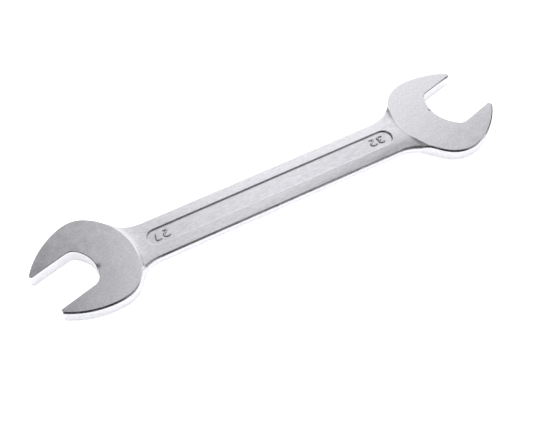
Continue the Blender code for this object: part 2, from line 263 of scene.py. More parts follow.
class WrenchSizes(bpy.types.PropertyGroup):
    """Main sizes of the forging."""

    gap_27: bpy.props.FloatProperty(
        name="Small Mouth", description="Width across flats of the small mouth",
        default=27.0 * MM, subtype="DISTANCE", unit="LENGTH", precision=5)
    gap_32: bpy.props.FloatProperty(
        name="Large Mouth", description="Width across flats of the large mouth",
        default=32.0 * MM, subtype="DISTANCE", unit="LENGTH", precision=5)
    head_width_27: bpy.props.FloatProperty(
        name="Small Head Width", description="Width of the small head across its cheeks",
        default=62.3 * MM, subtype="DISTANCE", unit="LENGTH", precision=5)
    head_width_32: bpy.props.FloatProperty(
        name="Large Head Width", description="Width of the large head across its cheeks",
        default=65.8 * MM, subtype="DISTANCE", unit="LENGTH", precision=5)
    head_thickness: bpy.props.FloatProperty(
        name="Head Thickness", description="Thickness of both ground heads",
        default=8.4 * MM, subtype="DISTANCE", unit="LENGTH", precision=5)
    flank_run: bpy.props.FloatProperty(
        name="Head Flank Run", description="How far inside its outline a head's ground face ends",
        default=0.8 * MM, subtype="DISTANCE", unit="LENGTH", precision=5)
    shank_width_27: bpy.props.FloatProperty(
        name="Shank Width at Small Head", description="Width of the shank at the small head's crossing point",
        default=26.8 * MM, subtype="DISTANCE", unit="LENGTH", precision=5)
    shank_width_32: bpy.props.FloatProperty(
        name="Shank Width at Large Head", description="Width of the shank at the large head's crossing point",
        default=27.3 * MM, subtype="DISTANCE", unit="LENGTH", precision=5)
    shank_thickness: bpy.props.FloatProperty(
        name="Shank Thickness", description="Thickness of the shank along its middle",
        default=6.6 * MM, subtype="DISTANCE", unit="LENGTH", precision=5)
    panel_length: bpy.props.FloatProperty(
        name="Panel Length", description="Length of the sunk panel on each face",
        default=160.7 * MM, subtype="DISTANCE", unit="LENGTH", precision=5)
    panel_depth: bpy.props.FloatProperty(
        name="Panel Depth", description="Depth of the sunk panel's floor below the shank's middle",
        default=1.0 * MM, subtype="DISTANCE", unit="LENGTH", precision=5)
    number_height: bpy.props.FloatProperty(
        name="Number Height", description="Height of the raised size numbers",
        default=6.3 * MM, subtype="DISTANCE", unit="LENGTH", precision=5)
    number_relief: bpy.props.FloatProperty(
        name="Number Relief", description="How far the numbers stand above the panel's floor",
        default=0.65 * MM, subtype="DISTANCE", unit="LENGTH", precision=5)


class WrenchFinish(bpy.types.PropertyGroup):
    """Colours and gloss of the plated surfaces."""

    plate: bpy.props.FloatVectorProperty(
        name="Chrome Plate", description="Colour of the satin chrome plate",
        default=linear("#E0E0E5"), size=4, min=0.0, max=1.0, subtype="COLOR")
    ground_roughness: bpy.props.FloatProperty(
        name="Ground Roughness", description="Roughness of the heads' ground faces",
        default=0.23, min=0.0, max=1.0, subtype="FACTOR")
    forged_roughness: bpy.props.FloatProperty(
        name="Forged Roughness", description="Roughness of the blasted shank and necks",
        default=0.29, min=0.0, max=1.0, subtype="FACTOR")
    floor: bpy.props.FloatVectorProperty(
        name="Floor", description="Colour of the studio floor",
        default=linear("#FFFFFF"), size=4, min=0.0, max=1.0, subtype="COLOR")


def polar(centre, radius, angles):
    """Points of a circle at the given angles."""
    return np.asarray(centre) + radius * np.column_stack([np.cos(angles), np.sin(angles)])


def arc(centre, radius, start, end):
    """An arc's points, both ends included, no further apart than the outline's spacing."""
    sweep = abs(end - start)
    steps = max(2, math.ceil(sweep * radius / OUTLINE_SPACING), math.ceil(sweep / FINE_TURN))
    return polar(centre, radius, np.linspace(start, end, steps + 1))


def line(start, end):
    """A straight line's points, both ends included, at the outline's spacing."""
    steps = max(1, math.ceil(math.dist(start, end) / OUTLINE_SPACING))
    return np.linspace(start, end, steps + 1)


def chain(*pieces):
    """Joins pieces of outline, leaving out the points that they share."""
    points = np.vstack(pieces)
    step = np.linalg.norm(np.diff(points, axis=0), axis=1)
    return points[np.concatenate([[True], step > OUTLINE_SPACING * SHARED_POINT_SHARE])]


def heading(start, end):
    """Angle of the line from one plan point to another."""
    return math.atan2(end[1] - start[1], end[0] - start[0])


def meeting_point(centre_a, radius_a, centre_b, radius_b):
    """Where two circles meet, on the right of the line from a to b."""
    gap = math.dist(centre_a, centre_b)
    along = (gap * gap + radius_a * radius_a - radius_b * radius_b) / (2 * gap)
    aside = math.sqrt(radius_a * radius_a - along * along)
    ux = (centre_b[0] - centre_a[0]) / gap
    uy = (centre_b[1] - centre_a[1]) / gap
    return (centre_a[0] + ux * along + uy * aside, centre_a[1] + uy * along - ux * aside)


def half_head(head, half_width):
    """Half of a head's outline: throat, jaw flat, nose, cheek, shoulder and back."""
    main = (head.throat_radius, 0.0)
    reach = head.throat_radius - head.throat_corner
    rise = head.gap / 2 - head.throat_corner
    corner = (main[0] - math.sqrt(reach * reach - rise * rise), rise)
    blend_angle = heading(main, corner)
    nose = (head.depth - NOSE_RADIUS, head.gap / 2 + NOSE_RADIUS)
    widest_u = -head.widest_setback
    shoulder = (widest_u, half_width - head.shoulder_radius)
    cheek = meeting_point(
        shoulder, head.cheek_radius - head.shoulder_radius, nose, head.cheek_radius - NOSE_RADIUS)
    nose_end = heading(cheek, nose)
    cheek_end = heading(cheek, shoulder)
    length = head.web + widest_u
    heel = (widest_u, half_width - head.corner_radius)
    back_radius = (length ** 2 + heel[1] ** 2 - head.corner_radius ** 2) / (2 * (length - head.corner_radius))
    back = (back_radius - head.web, 0.0)
    back_start = heading(back, heel)
    return chain(
        arc(main, head.throat_radius, math.pi, blend_angle),
        arc(corner, head.throat_corner, blend_angle, math.pi / 2),
        line((corner[0], head.gap / 2), (nose[0], head.gap / 2)),
        arc(nose, NOSE_RADIUS, -math.pi / 2, nose_end),
        arc(cheek, head.cheek_radius, nose_end, cheek_end),
        arc(shoulder, head.shoulder_radius, cheek_end, math.pi / 2),
        arc(heel, head.corner_radius, math.pi / 2, back_start),
        arc(back, back_radius, back_start, math.pi))


def head_outline(head):
    """A head's closed outline in the wrench's plan, anticlockwise from the middle of its back."""
    wide = half_head(head, head.width / 2 + head.offset)
    narrow = half_head(head, head.width / 2 - head.offset)[::-1] * [1, -1]
    local = np.vstack([narrow[:-1], wide[:-1]])
    c, s = math.cos(head.turn), math.sin(head.turn)
    local[:, 0] -= head.throat_setback
    return local @ np.array([[c, s], [-s, c]]) + [head.crossing_x, 0.0]


def distance(points, starts, ends):
    """How far each plan point lies from the nearest of some line segments."""
    run = ends - starts
    length_squared = (run ** 2).sum(axis=1)
    result = np.empty(len(points))
    for first in range(0, len(points), DISTANCE_BATCH):
        offset = points[first:first + DISTANCE_BATCH, None, :] - starts[None]
        share = np.clip((offset * run).sum(axis=2) / length_squared, 0, 1)
        gap = offset - share[..., None] * run
        result[first:first + DISTANCE_BATCH] = np.sqrt((gap ** 2).sum(axis=2).min(axis=1))
    return result


def inside(points, outline):
    """Whether each plan point lies inside a closed outline."""
    run = np.roll(outline, -1, axis=0) - outline
    slant = run[:, 0] / np.where(run[:, 1] == 0, np.inf, run[:, 1])
    result = np.empty(len(points), bool)
    for first in range(0, len(points), DISTANCE_BATCH):
        offset = points[first:first + DISTANCE_BATCH, None, :] - outline[None]
        above = offset[:, :, 1] < 0
        crossing = above != np.roll(above, -1, axis=1)
        left = offset[:, :, 0] < offset[:, :, 1] * slant
        result[first:first + DISTANCE_BATCH] = (crossing & left).sum(axis=1) % 2 == 1
    return result


def signed_distance(points, outline):
    """How far each plan point lies inside a closed outline; less than nothing outside it."""
    near = distance(points, outline, np.roll(outline, -1, axis=0))
    return np.where(inside(points, outline), near, -near)


def half_shank(x, sizes):
    """Half of the shank's width at its edges' upper ends."""
    share = x / CROSSING_SPACING + 1 / 2
    return (sizes.shank_width_27 + (sizes.shank_width_32 - sizes.shank_width_27) * share) / 2 - FLANK_BULGE


def roll_fillet(outline, crossing_x, side, radius, sizes):
    """Centre of the circle that touches both the shank's edge and a head's outline."""
    clear, biting = 0.0, crossing_x
    for _ in range(ROLL_STEPS):
        x = (clear + biting) / 2
        centre = np.array([x, side * (half_shank(x, sizes) + radius)])
        if -signed_distance(centre[None], outline)[0] > radius:
            clear = x
        else:
            biting = x
    return centre


class Plan:
    """The wrench seen from above: its outlines, and where each head takes over from its neck."""

    def __init__(self, sizes):
        self.sizes = sizes
        self.heads = (
            Head(-CROSSING_SPACING / 2, math.pi + JAW_ANGLE, THROAT_SETBACK_27, sizes.gap_27,
                 MOUTH_DEPTH_27, THROAT_RADIUS_27, THROAT_CORNER_27, sizes.head_width_27, HEAD_OFFSET_27,
                 WIDEST_SETBACK_27, SHOULDER_RADIUS_27, CHEEK_RADIUS_27, WEB_27, CORNER_RADIUS_27,
                 LEAN_FILLET_27, HEEL_FILLET_27),
            Head(CROSSING_SPACING / 2, JAW_ANGLE, THROAT_SETBACK_32, sizes.gap_32,
                 MOUTH_DEPTH_32, THROAT_RADIUS_32, THROAT_CORNER_32, sizes.head_width_32, 0.0,
                 WIDEST_SETBACK_32, SHOULDER_RADIUS_32, CHEEK_RADIUS_32, WEB_32, CORNER_RADIUS_32,
                 LEAN_FILLET_32, HEEL_FILLET_32))
        self.head_outlines = [head_outline(head) for head in self.heads]
        self.outline = self.whole_outline()
        self.panel = self.panel_outline()
        self.in_mouth = np.logical_or(*[self.mouth_points(head) for head in self.heads])

    def neck_side(self, index, side):
        """One neck's fillet from the shank to the head, and which point of the head's outline it meets."""
        head = self.heads[index]
        outline = self.head_outlines[index]
        leans = (side > 0) == (head.crossing_x > 0)
        radius = head.lean_fillet if leans else head.heel_fillet
        centre = roll_fillet(outline, head.crossing_x, side, radius, self.sizes)
        reach = np.linalg.norm(outline - centre, axis=1)
        nearest = int(np.argmin(reach))
        contact = heading(centre, outline[nearest])
        start = -side * math.pi / 2
        turn = (contact - start + math.pi) % (2 * math.pi) - math.pi
        return arc(centre, radius, start, start + turn), nearest

    def whole_outline(self):
        """The forging's closed outline, anticlockwise: each head with its fillets, then an edge."""
        ends = []
        for index, side in ((1, 1), (0, -1)):
            enter, first = self.neck_side(index, -side)
            leave, last = self.neck_side(index, side)
            ends.append(chain(enter, self.head_outlines[index][first + 1:last], leave[::-1]))
        right, left = ends
        return chain(right, line(right[-1], left[0]), left, line(left[-1], right[0]))[:-1]

    def mouth_points(self, head):
        """Which of the outline's points bound a head's mouth, half way round its noses."""
        c, s = math.cos(head.turn), math.sin(head.turn)
        local = (self.outline - [head.crossing_x, 0.0]) @ np.array([[c, -s], [s, c]])
        half = head.gap / 2 + NOSE_RADIUS * MOUTH_NOSE_SHARE
        return (np.abs(local[:, 1]) < half) & (local[:, 0] > -head.throat_setback - MOUTH_CLEARANCE)

    def depths(self, points):
        """How far plan points lie from the mouths' edges, and from the rest of the outline."""
        ends = np.roll(self.outline, -1, axis=0)
        mouth = self.in_mouth & np.roll(self.in_mouth, -1)
        return (distance(points, self.outline[mouth], ends[mouth]),
                distance(points, self.outline[~mouth], ends[~mouth]))

    def panel_outline(self):
        """The sunk panel's slot-shaped outline, a little wider at its 32 mm end."""
        left, right = PANEL_WIDTH_27 / 2, PANEL_WIDTH_32 / 2
        start = PANEL_START - CROSSING_SPACING / 2 + left
        end = PANEL_START - CROSSING_SPACING / 2 + self.sizes.panel_length - right
        square = math.pi / 2 + math.asin((right - left) / (end - start))
        right_end = arc((end, 0.0), right, -square, square)
        left_end = arc((start, 0.0), left, square, 2 * math.pi - square)
        return chain(right_end, line(right_end[-1], left_end[0]),
                     left_end, line(left_end[-1], right_end[0]))[:-1]

    def dark_spot(self, head):
        """Where a head's darker spot lies, beside the bottom of its mouth, in the finished part's frame."""
        along = np.array([math.cos(head.turn), math.sin(head.turn)])
        aside = np.array([-along[1], along[0]])
        bottom = np.array([head.crossing_x, 0.0]) - head.throat_setback * along
        return bottom + DARK_SPOT_ASIDE * aside + self.shift()

    def shift(self):
        """Moves the plan so that its bounding box is centred on the origin."""
        return -(self.outline.min(axis=0) + self.outline.max(axis=0)) / 2


def offset_rows(outline, insets):
    """Copies of a closed outline, each moved inwards by its inset."""
    before = np.roll(outline, 1, axis=0)
    after = np.roll(outline, -1, axis=0)
    along = (after - outline) / np.linalg.norm(after - outline, axis=1)[:, None]
    along += (outline - before) / np.linalg.norm(outline - before, axis=1)[:, None]
    along /= np.linalg.norm(along, axis=1)[:, None]
    inwards = np.column_stack([-along[:, 1], along[:, 0]])
    return [outline + inwards * inset for inset in insets]


def smooth(share):
    """A share between nothing and one, eased at both ends."""
    share = np.clip(share, 0, 1)
    return share * share * (3 - 2 * share)


def flank(depth, run):
    """How far a forged flank has dropped below the face that it leaves at a slope."""
    sine = math.sin(FLANK_SLOPE) + np.clip(run - depth, 0, run) / FLANK_RADIUS
    return FLANK_RADIUS * (math.cos(FLANK_SLOPE) - np.sqrt(1 - np.minimum(sine, 1) ** 2))


def face_heights(points, plan):
    """Height of the upper face above the middle of the thickness, and the head's share in it.

    Each head thickens its neck within a reach, and rises from it in a step where the neck
    covers the head's outline. The flanks drop along the sides and at the mouths' edges.
    """
    sizes = plan.sizes
    mouth_depth, side_depth = plan.depths(points)
    depth = np.minimum(mouth_depth, side_depth)
    along = points[:, 0] / CROSSING_SPACING + 1 / 2
    crown = SHANK_CROWN_27 + (SHANK_CROWN_32 - SHANK_CROWN_27) * along
    thickness = np.full(len(points), sizes.shank_thickness)
    side_drop = np.zeros(len(points))
    run = np.full(len(points), SHANK_FLANK_RUN)
    headness = np.zeros(len(points))
    for outline, step in zip(plan.head_outlines, (STEP_27, STEP_32)):
        within = signed_distance(points, outline)
        share = np.clip(1 + np.minimum(within, 0) / step.reach, 0, 1) ** 2
        thickness += (step.thickness - sizes.shank_thickness) * share
        crown += (step.crown - crown) * share
        leaning = smooth(1 / 2 + points[:, 1] * step.leans_to / (2 * NECK_MIDDLE))
        side_drop += share * (step.heel_drop + (step.lean_drop - step.heel_drop) * leaning)
        run += (NECK_FLANK_RUN - SHANK_FLANK_RUN) * share
        outside = step.heel_outside + (step.lean_outside - step.heel_outside) * leaning
        rise = np.clip((within + outside) / (step.inside + outside), 0, 1) ** 2
        covered = smooth((depth - within) / STEP_FADE)
        here = np.where(within > -step.reach, 1 - (1 - rise) * covered, 0)
        headness = np.maximum(headness, here)
    across = np.abs(points[:, 1]) / np.maximum(np.abs(points[:, 1]) + depth, LEAST_HALF_WIDTH)
    aside = np.clip((across - NECK_SIDE_START) / (1 - NECK_SIDE_START), 0, 1) ** NECK_SIDE_POWER
    body = thickness / 2 - crown * across ** 2 - side_drop * aside - flank(side_depth, run)
    head_drop = np.maximum(flank(side_depth, sizes.flank_run), flank(mouth_depth, MOUTH_FLANK_RUN))
    head = sizes.head_thickness / 2 - head_drop
    heights = body + (head - body) * headness
    sunk = smooth((signed_distance(points, plan.panel) + PANEL_RIM) / (PANEL_RIM + PANEL_WALL))
    floor = sizes.shank_thickness / 2 - sizes.panel_depth
    return heights + (floor - heights) * sunk, headness


class Sieve:
    """Keeps plan points that aren't too close to those kept before."""

    def __init__(self, cell):
        self.cell = cell
        self.cells = {}
        self.points = []

    def key(self, point):
        """The cell that a point falls in."""
        return math.floor(point[0] / self.cell), math.floor(point[1] / self.cell)

    def add(self, points, clearance=0.0):
        """Takes the points that have the clearance, or all of them where it is nothing."""
        reach = math.ceil(clearance / self.cell)
        for point in points:
            column, row = self.key(point)
            near = [other for i in range(column - reach, column + reach + 1)
                    for j in range(row - reach, row + reach + 1)
                    for other in self.cells.get((i, j), ())]
            if clearance and any(math.dist(point, other) < clearance for other in near):
                continue
            self.cells.setdefault((column, row), []).append(tuple(point))
            self.points.append(point)


def inner_points(plan, boundary):
    """Points for the face inside its rounded edge, in rows along its forms and a grid between them."""
    sieve = Sieve(ROW_CLEARANCE)
    sieve.add(boundary)
    edge = EDGE_ROWS[-1]
    for row in offset_rows(plan.panel, PANEL_ROWS):
        sieve.add(row)
    for outline, step in zip(plan.head_outlines, (STEP_27, STEP_32)):
        for row in offset_rows(outline, STEP_ROWS):
            depth = signed_distance(row, plan.outline)
            covered = depth - signed_distance(row, outline) > STEP_ROW_START
            sieve.add(row[(depth > edge + ROW_CLEARANCE / 2) & covered], ROW_CLEARANCE / 2)
    for inset, row in zip(NECK_ROWS, offset_rows(plan.outline, NECK_ROWS)):
        heads = [signed_distance(row, outline) for outline in plan.head_outlines]
        free = np.maximum(*heads) < NECK_ROW_END
        depth = signed_distance(row, plan.outline)
        sieve.add(row[free & (depth > inset - ROW_CLEARANCE / 2)], ROW_CLEARANCE)
    low, high = plan.outline.min(axis=0), plan.outline.max(axis=0)
    xs = np.arange(low[0], high[0], GRID_SPACING)
    ys = np.arange(low[1], high[1], GRID_SPACING)
    grid = np.array([(x + index % 2 * GRID_SPACING / 2, y) for index, y in enumerate(ys) for x in xs])
    sieve.add(grid[signed_distance(grid, plan.outline) > edge + GRID_CLEARANCE / 2], GRID_CLEARANCE)
    return np.array(sieve.points)


def upper_face(plan):
    """The upper face as plan points and faces; its first points are its outline, in order."""
    rows = offset_rows(plan.outline, EDGE_ROWS)
    count = len(plan.outline)
    points = np.vstack(rows[:-1])
    faces = []
    for row in range(len(rows) - 1):
        for index in range(count):
            after = (index + 1) % count
            faces.append((row * count + index, row * count + after,
                          (row + 1) * count + after, (row + 1) * count + index))
    boundary = rows[-1]
    inner = inner_points(plan, boundary)
    scaled = [Vector(point / MM) for point in inner]
    loop = [(index, (index + 1) % count) for index in range(count)]
    placed, _, triangles, origins, _, _ = delaunay_2d_cdt(scaled, loop, [], 0, MESH_MERGE_LIMIT, True)
    centres = [np.mean([placed[corner] for corner in triangle], axis=0) for triangle in triangles]
    depths = signed_distance(np.array(centres) * MM, boundary)
    triangles = [triangle for triangle, depth in zip(triangles, depths) if depth > 0]
    new_place = {source: index for index, sources in enumerate(origins) for source in sources}
    base = len(points)
    order = [new_place[index] for index in range(count)]
    edge_places = set(order)
    order += [index for index in range(len(placed)) if index not in edge_places]
    lookup = {old: base + position for position, old in enumerate(order)}
    points = np.vstack([points, [np.array(placed[old]) * MM for old in order]])
    faces += [tuple(lookup[corner] for corner in triangle) for triangle in triangles]
    return points, faces


def mesh_from(name, corners, faces):
    """A mesh with outward normals and smooth shading."""
    mesh = bpy.data.meshes.new(name)
    mesh.from_pydata([tuple(corner) for corner in corners], [], faces)
    tidy = bmesh.new()
    tidy.from_mesh(mesh)
    bmesh.ops.recalc_face_normals(tidy, faces=tidy.faces)
    tidy.to_mesh(mesh)
    tidy.free()
    mesh.shade_smooth()
    return mesh


def link(name, data):
    """A new object in the scene."""
    obj = bpy.data.objects.new(name, data)
    bpy.context.scene.collection.objects.link(obj)
    return obj


def forging_mesh(plan):
    """The closed forging within the CAD's box, and how far each of its corners has the ground finish."""
    points, faces = upper_face(plan)
    heights, headness = face_heights(points, plan)
    count = len(plan.outline)
    middle = plan.sizes.head_thickness / 2
    shifted = points + plan.shift()
    upper = np.column_stack([shifted, middle + heights])
    lower = np.column_stack([shifted, middle - heights])
    corners = [upper, lower]
    base = len(points)
    all_faces = faces + [tuple(corner + base for corner in reversed(face)) for face in faces]
    outwards = offset_rows(plan.outline, [-FLANK_BULGE])[0] - plan.outline
    rings = [range(count)]
    total = 2 * base
    for share in WALL_SHARES[1:-1]:
        bulge = outwards * ((1 - share * share) * (1 - headness[:count]))[:, None]
        corners.append(np.column_stack([shifted[:count] + bulge, middle + heights[:count] * share]))
        rings.append(range(total, total + count))
        total += count
    rings.append(range(base, base + count))
    for ring, following in zip(rings, rings[1:]):
        for index in range(count):
            after = (index + 1) % count
            all_faces.append((ring[index], following[index], following[after], ring[after]))
    shares = np.concatenate([headness, headness] + [plan.in_mouth] * (len(WALL_SHARES) - 2))
    return mesh_from(NODE + "_smooth", np.clip(np.vstack(corners), *CAD_BOX), all_faces), shares


def add_node(tree, kind, settings=None, inputs=None):
    """Adds a node with its settings; an input is a value or the socket that feeds it."""
    node = tree.nodes.new(kind)
    for name, value in (settings or {}).items():
        setattr(node, name, value)
    for name, value in (inputs or {}).items():
        socket = node.inputs[name]
        if isinstance(value, bpy.types.NodeSocket):
            tree.links.new(value, socket)
        else:
            socket.default_value = value
    return node


def plated_material(name, finish, roughness, skin, spots=()):
    """Satin chrome plate on forged steel.

    The plate gives a cool grey, soft mirror. The grain of the blasting or grinding under
    it speckles the reflections, drawn out along the bar where it was blasted, and patches
    and slight waves make them wander. Given spots are darker in colour, fading out to their radius.
    """
    made = bpy.data.materials.new(name)
    made.use_nodes = True
    tree = made.node_tree
    shader = tree.nodes["Principled BSDF"]
    shader.inputs["Metallic"].default_value = 1.0
    coords = add_node(tree, "ShaderNodeTexCoord").outputs["Object"]
    drawn = add_node(tree, "ShaderNodeVectorMath", {"operation": "MULTIPLY"}, {
        0: coords, 1: (skin.stretch, 1.0, 1.0)}).outputs[0]
    grain, patch = (
        add_node(tree, "ShaderNodeTexNoise", None, {
            "Vector": drawn, "Scale": 1 / size, "Detail": detail, "Roughness": CLOUD_ROUGHNESS}).outputs[0]
        for size, detail in ((GRAIN_SIZE, GRAIN_DETAIL), (PATCH_SIZE, PATCH_DETAIL)))
    shades = [
        add_node(tree, "ShaderNodeMapRange", None, {
            "Value": cloud, **CLOUD_SPREAD, "To Min": 1 - shade, "To Max": 1 + shade}).outputs[0]
        for cloud, shade in ((grain, skin.grain_shade), (patch, skin.patch_shade))]
    # Darkens the colour in a round spot around each given place, fading out to its radius
    for (x, y), radius in spots:
        away = add_node(tree, "ShaderNodeVectorMath", {"operation": "SUBTRACT"}, {0: coords, 1: (x, y, 0.0)})
        flat = add_node(tree, "ShaderNodeVectorMath", {"operation": "MULTIPLY"}, {
            0: away.outputs[0], 1: (1.0, 1.0, 0.0)})
        reach = add_node(tree, "ShaderNodeVectorMath", {"operation": "LENGTH"}, {0: flat.outputs[0]})
        shades.append(add_node(tree, "ShaderNodeMapRange", {"interpolation_type": "SMOOTHSTEP"}, {
            "Value": reach.outputs["Value"], "From Max": radius, "To Min": DARK_SPOT_TONE}).outputs[0])
    colour = finish.plate
    for shade in shades:
        colour = add_node(tree, "ShaderNodeMix", {"data_type": "RGBA", "blend_type": "MULTIPLY"}, {
            0: 1.0, 6: colour, 7: shade}).outputs[2]
    tree.links.new(colour, shader.inputs["Base Color"])
    gloss = add_node(tree, "ShaderNodeMapRange", None, {
        "Value": patch, **CLOUD_SPREAD,
        "To Min": roughness - ROUGHNESS_SWING, "To Max": roughness + ROUGHNESS_SWING})
    tree.links.new(gloss.outputs[0], shader.inputs["Roughness"])
    waves = add_node(tree, "ShaderNodeBump", None, {
        "Height": patch, "Strength": 1.0, "Distance": skin.patch_depth})
    grains = add_node(tree, "ShaderNodeBump", None, {
        "Height": grain, "Strength": 1.0, "Distance": skin.grain_depth, "Normal": waves.outputs[0]})
    tree.links.new(grains.outputs[0], shader.inputs["Normal"])
    return made


class WRENCH_OT_forging(bpy.types.Operator):
    """Models the forging, smooth, in place of its CAD node"""

    bl_idname = "wrench.forging"
    bl_label = "Make Forging"

    def execute(self, context):
        """Builds the mesh and gives it its two finishes."""
        finish = context.scene.wrench_finish
        plan = Plan(context.scene.wrench_sizes)
        mesh, shares = forging_mesh(plan)
        mesh.materials.append(plated_material(
            "satin_chrome_blasted", finish, finish.forged_roughness, BLASTED))
        spots = [(plan.dark_spot(head), radius)
                 for head, radius in zip(plan.heads, (DARK_SPOT_RADIUS_27, DARK_SPOT_RADIUS_32))]
        mesh.materials.append(plated_material(
            "satin_chrome_ground", finish, finish.ground_roughness, GROUND, spots))
        for face in mesh.polygons:
            face.material_index = int(np.mean([shares[corner] for corner in face.vertices]) > 1 / 2)
        piece = link("forging", mesh)
        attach(piece, BODY)
        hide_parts(NODE)
        return {"FINISHED"}


def bow(centre, radii, start, end):
    """Points of an ellipse's arc, in degrees, for a digit's centre line."""
    angles = np.linspace(start, end, BOW_STEPS + 1) * DEG
    return np.asarray(centre) + np.column_stack([np.cos(angles), np.sin(angles)]) * radii


def digit_line(digit):
    """The centre line of a digit, in a box one wide and one high."""
    lines = {
        "2": [bow((0.5, 0.71), (0.5, 0.29), 165, -40), [(0.0, 0.0), (1.0, 0.0)]],
        "3": [bow((0.46, 0.755), (0.47, 0.245), 155, -80), bow((0.46, 0.265), (0.54, 0.265), 80, -155)],
        "7": [[(0.0, 1.0), (1.0, 1.0), (0.6, 0.0)]]}
    return np.vstack(lines[digit])


def number_lines(name, number, width, height):
    """A number's centre lines as a mesh of edges, centred, with a point near each end for its slope."""
    pitch = (width + NUMBER_GAP) / len(number)
    box = np.array([pitch - NUMBER_GAP - STROKE_WIDTH, height - STROKE_WIDTH])
    corners, edges = [], []
    for place, digit in enumerate(number):
        path = (digit_line(digit) - 1 / 2) * box + [(place - (len(number) - 1) / 2) * pitch, 0.0]
        for first, second in ((0, 1), (-1, -2)):
            away = path[second] - path[first]
            near = path[first] + away * STROKE_END / np.linalg.norm(away)
            path = np.insert(path, 1 if first == 0 else len(path) - 1, near, axis=0)
        edges += [(len(corners) + step, len(corners) + step + 1) for step in range(len(path) - 1)]
        corners += [(x, y, 0.0) for x, y in path]
    mesh = bpy.data.meshes.new(name)
    mesh.from_pydata(corners, edges, [])
    return mesh


def number_tree():
    """Geometry Nodes that raise a ridge with sloping sides along each line, on both panels' floors."""
    tree = bpy.data.node_groups.new("raised_number", "GeometryNodeTree")
    sockets = {}
    for name, kind in (("Lines", "NodeSocketGeometry"), ("Relief", "NodeSocketFloat"),
                       ("Place", "NodeSocketVector"), ("Floor Height", "NodeSocketFloat"),
                       ("Thickness", "NodeSocketFloat"), ("Finish", "NodeSocketMaterial")):
        sockets[name] = tree.interface.new_socket(name, in_out="INPUT", socket_type=kind).identifier
    tree.interface.new_socket("Number Mesh", in_out="OUTPUT", socket_type="NodeSocketGeometry")
    given = add_node(tree, "NodeGroupInput").outputs
    lines = add_node(tree, "GeometryNodeMeshToCurve", None, {"Mesh": given["Lines"]})
    rounded = add_node(tree, "GeometryNodeFilletCurve", {"mode": "POLY"}, {
        "Curve": lines.outputs[0], "Radius": STROKE_BEND, "Count": STROKE_BEND_STEPS, "Limit Radius": True})
    upright = add_node(tree, "GeometryNodeSetCurveNormal", {"mode": "Z_UP"}, {"Curve": rounded.outputs[0]})
    ends = add_node(tree, "GeometryNodeCurveEndpointSelection")
    size = add_node(tree, "ShaderNodeMath", {"operation": "MULTIPLY_ADD"}, {
        0: ends.outputs[0], 1: STROKE_END_SHARE - 1, 2: 1.0})
    height = add_node(tree, "ShaderNodeMath", {"operation": "ADD"}, {0: given["Relief"], 1: NUMBER_SINK})
    section = add_node(tree, "GeometryNodeCurvePrimitiveQuadrilateral", {"mode": "TRAPEZOID"}, {
        "Bottom Width": STROKE_WIDTH, "Top Width": STROKE_TOP, "Offset": 0.0, "Height": height.outputs[0]})
    half = add_node(tree, "ShaderNodeMath", {"operation": "DIVIDE"}, {0: height.outputs[0], 1: -2.0})
    stand = add_node(tree, "ShaderNodeCombineXYZ", None, {"Y": half.outputs[0]})
    standing = add_node(tree, "GeometryNodeTransform", None, {
        "Geometry": section.outputs[0], "Translation": stand.outputs[0], "Rotation": (0.0, 0.0, math.pi)})
    ridge = add_node(tree, "GeometryNodeCurveToMesh", None, {
        "Curve": upright.outputs[0], "Profile Curve": standing.outputs[0], "Scale": size.outputs[0],
        "Fill Caps": True})
    down = add_node(tree, "ShaderNodeMath", {"operation": "SUBTRACT"}, {
        0: given["Floor Height"], 1: NUMBER_SINK})
    lift = add_node(tree, "ShaderNodeCombineXYZ", None, {"Z": down.outputs[0]})
    place = add_node(tree, "ShaderNodeVectorMath", {"operation": "ADD"}, {
        0: given["Place"], 1: lift.outputs[0]})
    upper = add_node(tree, "GeometryNodeTransform", None, {
        "Geometry": ridge.outputs[0], "Translation": place.outputs[0], "Rotation": (0.0, 0.0, math.pi)})
    far_side = add_node(tree, "ShaderNodeCombineXYZ", None, {"Z": given["Thickness"]})
    lower = add_node(tree, "GeometryNodeTransform", None, {
        "Geometry": upper.outputs[0], "Translation": far_side.outputs[0], "Rotation": (math.pi, 0.0, 0.0)})
    faces = add_node(tree, "GeometryNodeJoinGeometry")
    tree.links.new(upper.outputs[0], faces.inputs[0])
    tree.links.new(lower.outputs[0], faces.inputs[0])
    real = add_node(tree, "GeometryNodeRealizeInstances", None, {"Geometry": faces.outputs[0]})
    finished = add_node(tree, "GeometryNodeSetMaterial", None, {
        "Geometry": real.outputs[0], "Material": given["Finish"]})
    add_node(tree, "NodeGroupOutput", None, {"Number Mesh": finished.outputs[0]})
    return tree, sockets


def raised_number(name, number, width, place, sizes, finish):
    """A size number on both faces, as a plain mesh."""
    tree, sockets = number_tree()
    obj = link(name, number_lines(name, number, width, sizes.number_height))
    nodes = obj.modifiers.new("raise", "NODES")
    nodes.node_group = tree
    middle = sizes.head_thickness / 2
    values = {"Relief": sizes.number_relief, "Place": place,
              "Floor Height": middle + sizes.shank_thickness / 2 - sizes.panel_depth,
              "Thickness": sizes.head_thickness, "Finish": finish}
    for socket, value in values.items():
        nodes[sockets[socket]] = value
    depsgraph = bpy.context.evaluated_depsgraph_get()
    made = bpy.data.meshes.new_from_object(obj.evaluated_get(depsgraph), depsgraph=depsgraph)
    obj.modifiers.clear()
    obj.data = made
    if not made.polygons:
        raise RuntimeError(f"{name} came out empty")
    return obj


